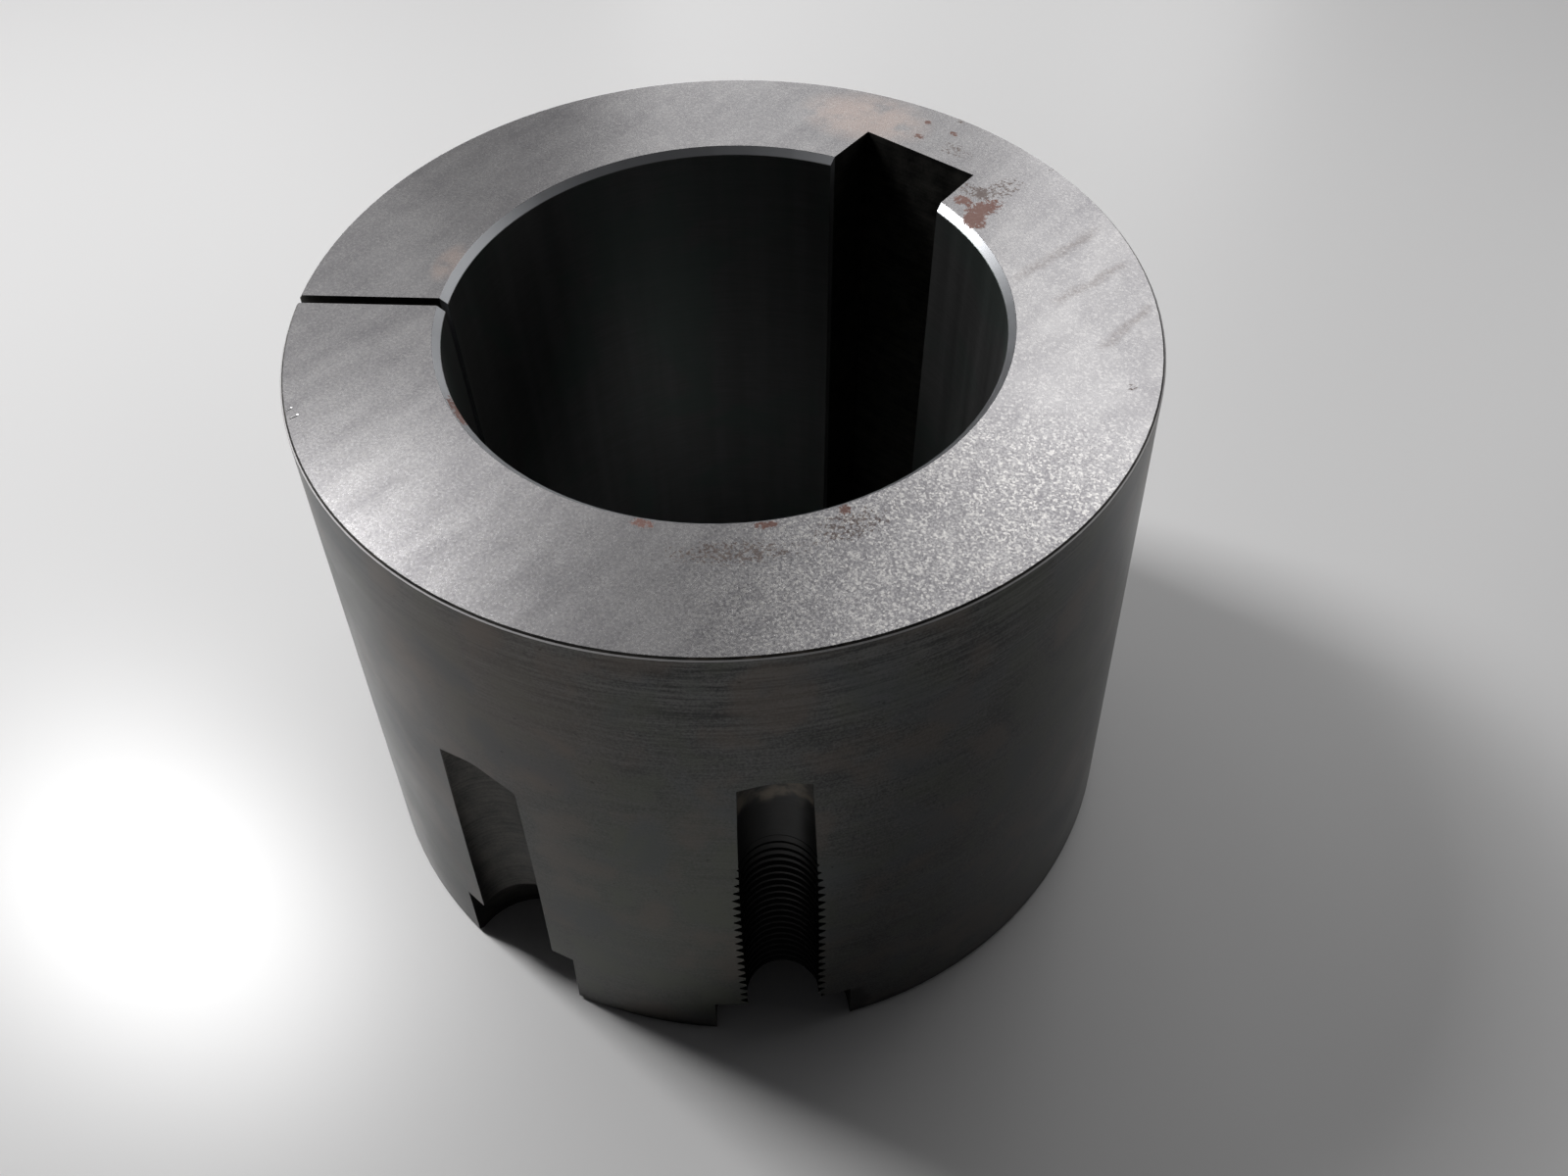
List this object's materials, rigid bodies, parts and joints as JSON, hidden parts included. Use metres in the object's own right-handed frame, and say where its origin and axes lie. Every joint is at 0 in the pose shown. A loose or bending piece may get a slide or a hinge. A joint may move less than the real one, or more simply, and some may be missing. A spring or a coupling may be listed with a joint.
{
  "type": "split taper bush",
  "caption": "One-piece split taper bush with a keyed bore, a radial slit and half-round screw holes bored into its tapered outside from the large end.",
  "frame": {"origin": "centre of the large end face, on the bore's axis", "axes": "+Z along the bore towards the small end, +Y through the middle of the keyway"},
  "size_m": [0.1268, 0.1267, 0.0889],
  "materials": {
    "machined_iron": "turned and faced grey iron, lightly oiled, with light rust spots on the small end face"
  },
  "bodies": {
    "root": {"taper_bush": "machined_iron"}
  },
  "joints": []
}
